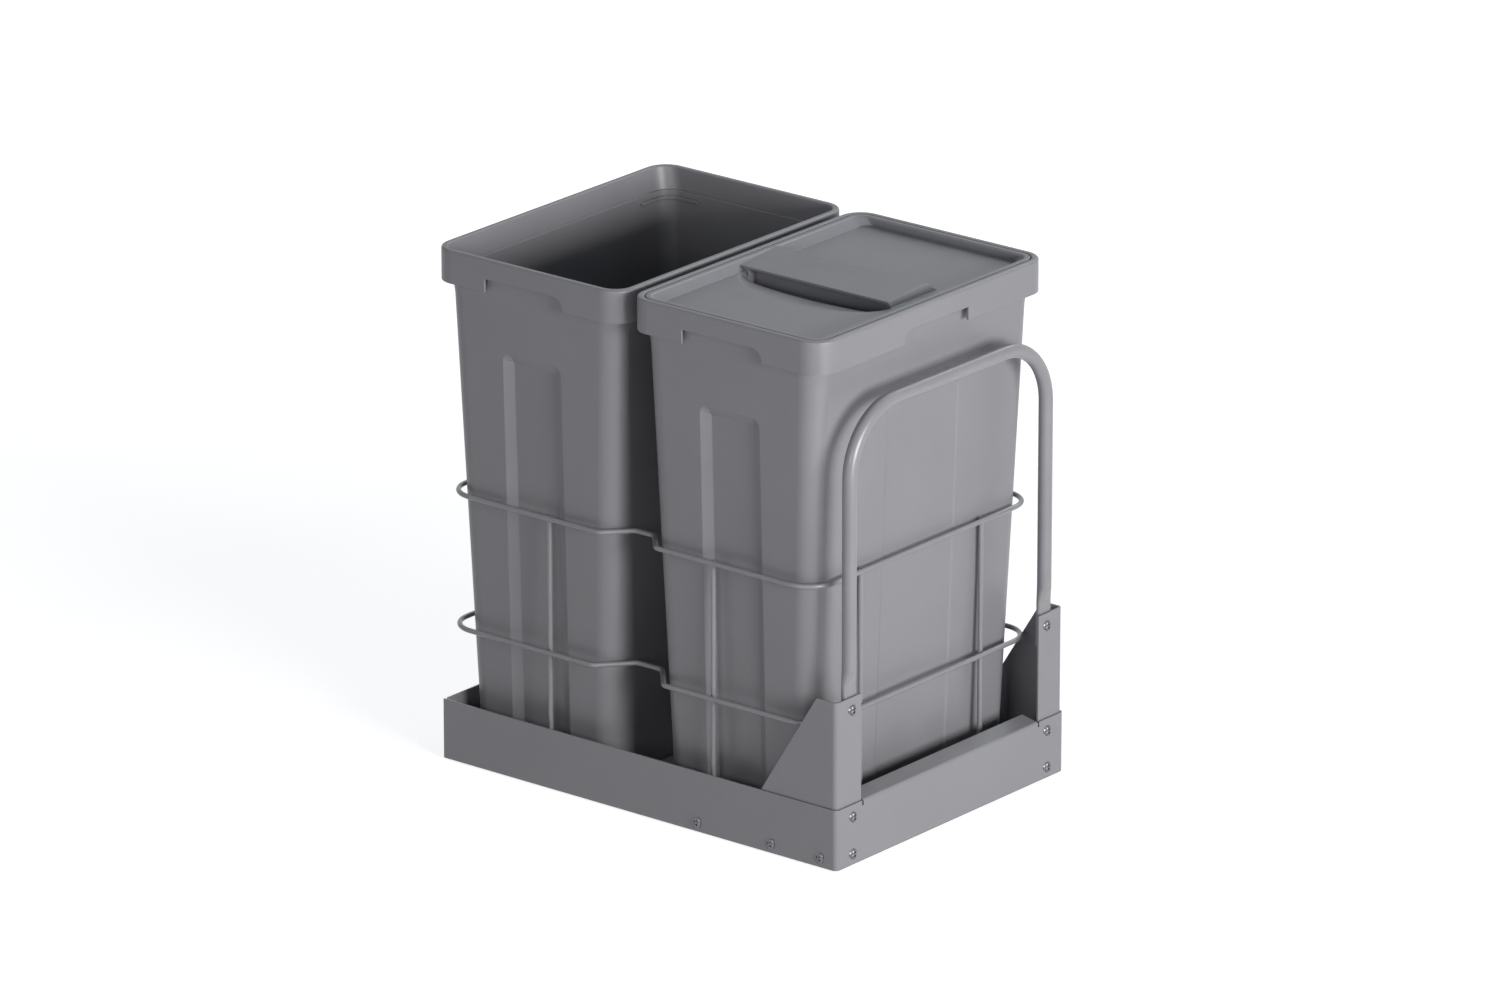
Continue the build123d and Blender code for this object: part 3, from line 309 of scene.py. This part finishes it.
FINISHES = {
    # bins: the light edge colour is a painted highlight along the rim beads and edges
    "bin_plastic": surface(
        "bin_plastic", GREY_PLASTIC, 0.41, spread=0.05, tint=0.05, grain_mm=0.55, bump_mm=0.018,
        flow_mm=140, edge_mm=1.4, wear_and_highlight_tint=(0.36, 0.365, 0.385), wear_and_highlight_amount=0.5, breakup=0.3,
        scuff=0.7, dust=0.2,
    ),
    # lid: the light edge colour is a painted highlight along its edges, and the wider reach of the
    # painted shade darkens the scoop and the gap round the lid
    "lid_plastic": surface(
        "lid_plastic", GREY_LID, 0.4, spread=0.05, tint=0.05, grain_mm=0.5, bump_mm=0.016,
        flow_mm=110, edge_mm=1.2, wear_and_highlight_tint=(0.34, 0.35, 0.37), wear_and_highlight_amount=0.5, breakup=0.3,
        scuff=0.9, dust=0.35, painted_shade_reach_mm=6.0,
    ),
    "tray_paint": surface(
        "tray_paint", GREY_PAINT, 0.38, spread=0.05, tint=0.03, grain_mm=0.8, bump_mm=0.03,
        flow_mm=90, edge_mm=0.7, wear_and_highlight_amount=0.35, breakup=0.45, coat=0.15, coat_roughness=0.35,
        scuff=0.6, dust=0.3,
    ),
    "handle_paint": surface(
        "handle_paint", GREY_PAINT, 0.34, spread=0.05, tint=0.03, grain_mm=0.8, bump_mm=0.016,
        flow_mm=50, edge_mm=0.6, wear_and_highlight_amount=0.3, breakup=0.5, coat=0.3, coat_roughness=0.32,
        scuff=0.8, dust=0.15,
    ),
    "rack_paint": surface(
        "rack_paint", GREY_PAINT, 0.34, spread=0.05, tint=0.04, grain_mm=0.6, bump_mm=0.014,
        flow_mm=40, edge_mm=0.4, wear_and_highlight_amount=0.3, breakup=0.5, coat=0.3, coat_roughness=0.32,
        painted_shade_reach_mm=2.0, scuff=0.5, dust=0.2,
    ),
    "zinc_steel": surface(
        "zinc_steel", (0.62, 0.63, 0.65), 0.32, spread=0.08, tint=0.1, metallic=1.0, grain_mm=1.6,
        bump_mm=0.01, flow_mm=14, edge_mm=0.3, wear_and_highlight_amount=0.4, wear_and_highlight_tint=(0.8, 0.8, 0.8),
        scuff=0.9, dust=0.2,
    ),
    "cage_steel": surface(
        "cage_steel", (0.5, 0.49, 0.46), 0.3, spread=0.07, tint=0.08, metallic=1.0, grain_mm=1.2,
        bump_mm=0.008, flow_mm=12, edge_mm=0.2, wear_and_highlight_amount=0.3, scuff=0.4, dust=0.1,
    ),
    "screw_steel": surface(
        "screw_steel", (0.17, 0.17, 0.185), 0.32, spread=0.07, tint=0.08, metallic=1.0,
        grain_mm=0.4, bump_mm=0.006, flow_mm=4, edge_mm=0.25, wear_and_highlight_amount=0.4,
        wear_and_highlight_tint=(0.45, 0.45, 0.46), painted_shade_reach_mm=1.0, scuff=0.6, dust=0.15,
    ),
    "stop_rubber": surface(
        "stop_rubber", (0.03, 0.03, 0.032), 0.75, spread=0.05, tint=0.1, specular=0.35,
        grain_mm=0.7, bump_mm=0.04, flow_mm=10, edge_mm=0.6, wear_and_highlight_amount=0.3, scuff=0.3, dust=0.5,
    ),
}


def dress_frame():
    """Gives every CAD node the finish of its material slot."""
    slots = {part["node"]: part["material_slot"] for part in frame["record"]["subparts"]}
    for name, piece in frame["nodes"].items():
        finish = FINISHES[slots[name]]
        if not piece.material_slots:
            piece.data.materials.append(finish)
        for place in piece.material_slots:
            place.material = finish


dress_frame()


# ---------------------------------------------------------------- screws, set out by geometry nodes

class Geometry:
    """A geometry node tree with named sizes, filled in step by step."""

    def __init__(self, name, sizes):
        self.tree = bpy.data.node_groups.new(name, "GeometryNodeTree")
        face = self.tree.interface
        face.new_socket(name="Geometry", in_out="INPUT", socket_type="NodeSocketGeometry")
        self.ids = {}
        for label, kind in sizes:
            socket = face.new_socket(name=label, in_out="INPUT", socket_type="NodeSocket" + kind)
            self.ids[label] = socket.identifier
        face.new_socket(name="Geometry", in_out="OUTPUT", socket_type="NodeSocketGeometry")
        self.given = self.tree.nodes.new("NodeGroupInput").outputs
        self.out = self.tree.nodes.new("NodeGroupOutput").inputs["Geometry"]

    def node(self, kind, settings=None, **sockets):
        made = self.tree.nodes.new(kind)
        for name, value in (settings or {}).items():
            setattr(made, name, value)
        for name, value in sockets.items():
            self.feed(made.inputs[name.replace("_", " ")], value)
        return made

    def feed(self, socket, value):
        if isinstance(value, bpy.types.NodeSocket):
            self.tree.links.new(value, socket)
        else:
            socket.default_value = value

    def calc(self, operation, first, second=0.0):
        step = self.node("ShaderNodeMath", {"operation": operation})
        self.feed(step.inputs[0], first)
        self.feed(step.inputs[1], second)
        return step.outputs[0]

    def vector(self, x=0.0, y=0.0, z=0.0):
        return self.node("ShaderNodeCombineXYZ", X=x, Y=y, Z=z).outputs[0]


def screw_tree():
    """Domed pan head with a cross recess and a plain shank, on every point, facing its own way."""
    g = Geometry(
        "pan_head_screws",
        [
            ("Head Radius", "Float"),
            ("Head Height", "Float"),
            ("Shank Radius", "Float"),
            ("Shank Length", "Float"),
            ("Finish", "Material"),
        ],
    )
    radius, height = g.given["Head Radius"], g.given["Head Height"]
    head = g.node(
        "GeometryNodeMeshCylinder",
        Vertices=28,
        Side_Segments=4,
        Fill_Segments=5,
        Radius=radius,
        Depth=height,
    )
    spot = g.node("GeometryNodeInputPosition").outputs[0]
    parts = g.node("ShaderNodeSeparateXYZ", Vector=spot)
    flat = g.node("ShaderNodeVectorMath", {"operation": "LENGTH"})
    g.feed(flat.inputs[0], g.vector(parts.outputs["X"], parts.outputs["Y"], 0.0))
    share = g.calc("DIVIDE", flat.outputs["Value"], radius)
    level = g.calc("ADD", g.calc("DIVIDE", parts.outputs["Z"], height), 0.5)
    # 0 in the middle of the head, 1 round its top's rim
    rounding = g.calc("MULTIPLY", g.calc("POWER", share, 3.5), level)
    drop = g.calc("MULTIPLY", rounding, g.calc("MULTIPLY", height, -0.62))
    fall = g.vector(0.0, 0.0, drop)
    dome = g.node("GeometryNodeSetPosition", Geometry=head.outputs["Mesh"], Offset=fall)
    half_up = g.vector(0.0, 0.0, g.calc("MULTIPLY", height, 0.5))
    lifted = g.node("GeometryNodeTransform", Geometry=dome.outputs[0], Translation=half_up)
    long_side = g.calc("MULTIPLY", radius, 1.05)
    short_side = g.calc("MULTIPLY", radius, 0.24)
    cutters = []
    for size in ((long_side, short_side), (short_side, long_side)):
        bar = g.node("GeometryNodeMeshCube", Size=g.vector(size[0], size[1], height))
        top = g.vector(0.0, 0.0, height)
        cutters.append(g.node("GeometryNodeTransform", Geometry=bar.outputs["Mesh"], Translation=top))
    cut = g.node("GeometryNodeMeshBoolean", {"operation": "DIFFERENCE"})
    g.feed(cut.inputs["Mesh 1"], lifted.outputs[0])
    for cutter in cutters:
        g.tree.links.new(cutter.outputs[0], cut.inputs["Mesh 2"])
    shank = g.node(
        "GeometryNodeMeshCylinder",
        Vertices=20,
        Radius=g.given["Shank Radius"],
        Depth=g.given["Shank Length"],
    )
    sunk = g.node(
        "GeometryNodeTransform",
        Geometry=shank.outputs["Mesh"],
        Translation=g.vector(0.0, 0.0, g.calc("MULTIPLY", g.given["Shank Length"], -0.5)),
    )
    screw = g.node("GeometryNodeJoinGeometry")
    g.tree.links.new(cut.outputs["Mesh"], screw.inputs[0])
    g.tree.links.new(sunk.outputs[0], screw.inputs[0])
    facing = g.node("GeometryNodeInputNamedAttribute", {"data_type": "FLOAT_VECTOR"}, Name="facing")
    turn = g.node("FunctionNodeAlignRotationToVector", {"axis": "Z"}, Vector=facing.outputs["Attribute"])
    placed = g.node(
        "GeometryNodeInstanceOnPoints",
        Points=g.given["Geometry"],
        Instance=screw.outputs[0],
        Rotation=turn.outputs[0],
    )
    solid = g.node("GeometryNodeRealizeInstances", Geometry=placed.outputs[0])
    shaded = g.node(
        "GeometryNodeSetShadeSmooth", {"domain": "FACE"}, Geometry=solid.outputs[0], Shade_Smooth=False
    )
    coloured = g.node("GeometryNodeSetMaterial", Geometry=shaded.outputs[0], Material=g.given["Finish"])
    g.tree.links.new(coloured.outputs[0], g.out)
    return g


SCREWS = screw_tree()
SCREW_APART = 6 * MM            # vertices nearer than this belong to one screw


def screw_set(name, spots, head_radius, head_height, shank_radius, shank_length):
    """One plain mesh of screws; each spot is a point under the head and the way the head faces."""
    seeds = bpy.data.meshes.new(name + "_spots")
    seeds.from_pydata([point for point, _ in spots], [], [])
    facing = seeds.attributes.new("facing", "FLOAT_VECTOR", "POINT")
    for index, (_, way) in enumerate(spots):
        facing.data[index].vector = way
    carrier = bpy.data.objects.new(name + "_spots", seeds)
    bpy.context.scene.collection.objects.link(carrier)
    layout = carrier.modifiers.new("layout", "NODES")
    layout.node_group = SCREWS.tree
    sizes = {
        "Head Radius": head_radius, "Head Height": head_height, "Shank Radius": shank_radius,
        "Shank Length": shank_length, "Finish": FINISHES["screw_steel"],
    }
    for label, value in sizes.items():
        layout[SCREWS.ids[label]] = value
    bpy.context.view_layer.update()
    made = bpy.data.meshes.new_from_object(carrier.evaluated_get(bpy.context.evaluated_depsgraph_get()))
    bpy.data.objects.remove(carrier)
    screws = bpy.data.objects.new(name, made)
    bpy.context.scene.collection.objects.link(screws)
    return screws


def solid_extents(node, along):
    """Lowest and highest corner of each separate screw of a CAD node, told apart by two of its axes."""
    piece = frame["nodes"][node]
    spots = []
    for vertex in piece.data.vertices:
        flat = Vector([vertex.co[i] for i in along])
        for spot in spots:
            if (spot["first"] - flat).length < SCREW_APART:
                spot["points"].append(vertex.co.copy())
                break
        else:
            spots.append({"first": flat, "points": [vertex.co.copy()]})
    extents = []
    for spot in spots:
        low = Vector([min(p[i] for p in spot["points"]) for i in range(3)])
        high = Vector([max(p[i] for p in spot["points"]) for i in range(3)])
        extents.append((low, high))
    return extents


def screws_for(name, node, way, head_radius, head_height, shank_radius):
    """Detailed screws that stand exactly where a CAD node has its plain ones."""
    axis = max(range(3), key=lambda i: abs(way[i]))
    along = [i for i in range(3) if i != axis]
    spots = []
    length = 0.0
    for low, high in solid_extents(node, along):
        point = (low + high) / 2
        top = high[axis] if way[axis] > 0 else low[axis]
        point[axis] = top - way[axis] * head_height
        length = (high[axis] - low[axis]) - head_height
        spots.append((point, way))
    screws = screw_set(name, spots, head_radius, head_height, shank_radius, length)
    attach(screws, "carriage")
    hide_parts(node)


TRAY_SCREW = (3.6 * MM, 2.0 * MM, 2.0 * MM)     # head radius, head height, shank radius
CLIP_SCREW = (2.3 * MM, 1.3 * MM, 1.3 * MM)
screws_for("handle_screw_heads", "handle_screws", (0, -1, 0), *TRAY_SCREW)
screws_for("front_screw_heads", "front_screws", (0, -1, 0), *TRAY_SCREW)
screws_for("side_screw_heads_left", "side_screws_left", (-1, 0, 0), *TRAY_SCREW)
screws_for("side_screw_heads_right", "side_screws_right", (1, 0, 0), *TRAY_SCREW)
screws_for("clip_screw_heads", "clip_screws", (0, 0, 1), *CLIP_SCREW)


# ---------------------------------------------------------------- floor, light and camera

FLOOR_TONE = (0.62, 0.62, 0.625)
FLOOR_RADIUS = 4.0
FLOOR_SIDES = 96
FLOOR_LIFT = 0.77       # light added near the unit where the floor is looked at, so that it shows white
FLOOR_LIFT_FAR = 1.0    # the same out toward its edge, where there is no shadow
FLOOR_FADE = (0.8, 2.4)     # from the unit's middle: where the first gives way to the second


def looked_at(s):
    """1 for rays that come from the camera, straight or through a reflection or glass."""
    path = s.node("ShaderNodeLightPath")
    seen = s.math("ADD", path.outputs["Is Camera Ray"], path.outputs["Is Glossy Ray"], clamp=True)
    return s.math("ADD", seen, path.outputs["Is Transmission Ray"], clamp=True)


def floor_material():
    """Pale matt floor that looks white, with the object's soft shadow kept."""
    material = bpy.data.materials.new("pale_floor")
    material.use_nodes = True
    material.node_tree.nodes.clear()
    s = Shader(material.node_tree)
    where = s.node("ShaderNodeTexCoord").outputs["Object"]
    tone = s.node("ShaderNodeMix", data_type="RGBA")
    tone.inputs["A"].default_value = (*FLOOR_TONE, 1)
    tone.inputs["B"].default_value = (*[part + 0.02 for part in FLOOR_TONE], 1)
    s.join(s.noise(where, 60.0), tone.inputs["Factor"])
    matt = s.node("ShaderNodeBsdfDiffuse")
    s.join(tone.outputs["Result"], matt.inputs["Color"])
    glow = s.node("ShaderNodeEmission")
    away = s.node("ShaderNodeVectorMath", operation="LENGTH")
    s.join(where, away.inputs[0])
    lift = s.ramp(away.outputs["Value"], *FLOOR_FADE, FLOOR_LIFT, FLOOR_LIFT_FAR)
    s.join(s.math("MULTIPLY", looked_at(s), lift), glow.inputs["Strength"])
    both = s.node("ShaderNodeAddShader")
    s.join(matt.outputs["BSDF"], both.inputs[0])
    s.join(glow.outputs["Emission"], both.inputs[1])
    s.join(both.outputs["Shader"], s.node("ShaderNodeOutputMaterial").inputs["Surface"])
    return material


def build_floor():
    """Round pale floor under the unit."""
    angles = [math.tau * i / FLOOR_SIDES for i in range(FLOOR_SIDES)]
    rim = [(FLOOR_RADIUS * math.cos(a), FLOOR_RADIUS * math.sin(a), 0.0) for a in angles]
    mesh = bpy.data.meshes.new("floor")
    mesh.from_pydata(rim, [], [list(range(FLOOR_SIDES))])
    floor = bpy.data.objects.new("floor", mesh)
    bpy.context.scene.collection.objects.link(floor)
    mesh.materials.append(floor_material())


def soft_light(name, position, size, power, colour=(1, 1, 1)):
    """Softbox that points at the middle of the unit."""
    lamp = bpy.data.lights.new(name, "AREA")
    lamp.shape = "RECTANGLE"
    lamp.size, lamp.size_y = size
    lamp.energy = power
    lamp.color = colour
    box = bpy.data.objects.new(name, lamp)
    bpy.context.scene.collection.objects.link(box)
    box.location = position
    box.rotation_euler = (Vector(TARGET) - Vector(position)).to_track_quat("-Z", "Y").to_euler()


def build_world(colour, strength):
    """Even studio surround that looks plain white."""
    world = bpy.data.worlds.new("studio")
    world.use_nodes = True
    world.node_tree.nodes.clear()
    s = Shader(world.node_tree)
    shade = s.node("ShaderNodeBackground")
    shade.inputs["Color"].default_value = (*colour, 1)
    shade.inputs["Strength"].default_value = strength
    seen = s.node("ShaderNodeBackground")
    seen.inputs["Color"].default_value = (1, 1, 1, 1)
    seen.inputs["Strength"].default_value = 1.0
    mix = s.node("ShaderNodeMixShader")
    s.join(looked_at(s), mix.inputs["Fac"])
    s.join(shade.outputs["Background"], mix.inputs[1])
    s.join(seen.outputs["Background"], mix.inputs[2])
    s.join(mix.outputs["Shader"], s.node("ShaderNodeOutputWorld").inputs["Surface"])
    bpy.context.scene.world = world


CAMERA_LENS = 268.06            # millimetres
CAMERA_PLACE = (-7.8308, -6.3557, 3.8017)
CAMERA_DOWN = 19.30             # degrees below the horizon
CAMERA_TURN = -50.94            # degrees round the vertical, from looking along +Y


def build_camera():
    """Long lens from the front left, at the photograph's angle."""
    lens = bpy.data.cameras.new("camera")
    lens.sensor_width = 36.0
    lens.lens = CAMERA_LENS
    lens.clip_end = 100.0
    camera = bpy.data.objects.new("camera", lens)
    bpy.context.scene.collection.objects.link(camera)
    camera.location = CAMERA_PLACE
    camera.rotation_euler = (math.radians(90 - CAMERA_DOWN), 0, math.radians(CAMERA_TURN))
    bpy.context.scene.camera = camera


build_floor()
build_world((0.84, 0.91, 1.0), 0.14)
soft_light("key", (-0.7, -3.2, 0.92), (1.6, 0.9), 114, (1.0, 0.99, 0.985))
soft_light("fill", (-3.1, -0.9, 1.15), (1.2, 0.7), 18, (0.98, 0.99, 1.0))
soft_light("side", (2.2, 0.3, 2.25), (1.6, 0.9), 19, (0.82, 0.91, 1.0))
build_camera()
bpy.context.scene.view_settings.view_transform = "Standard"
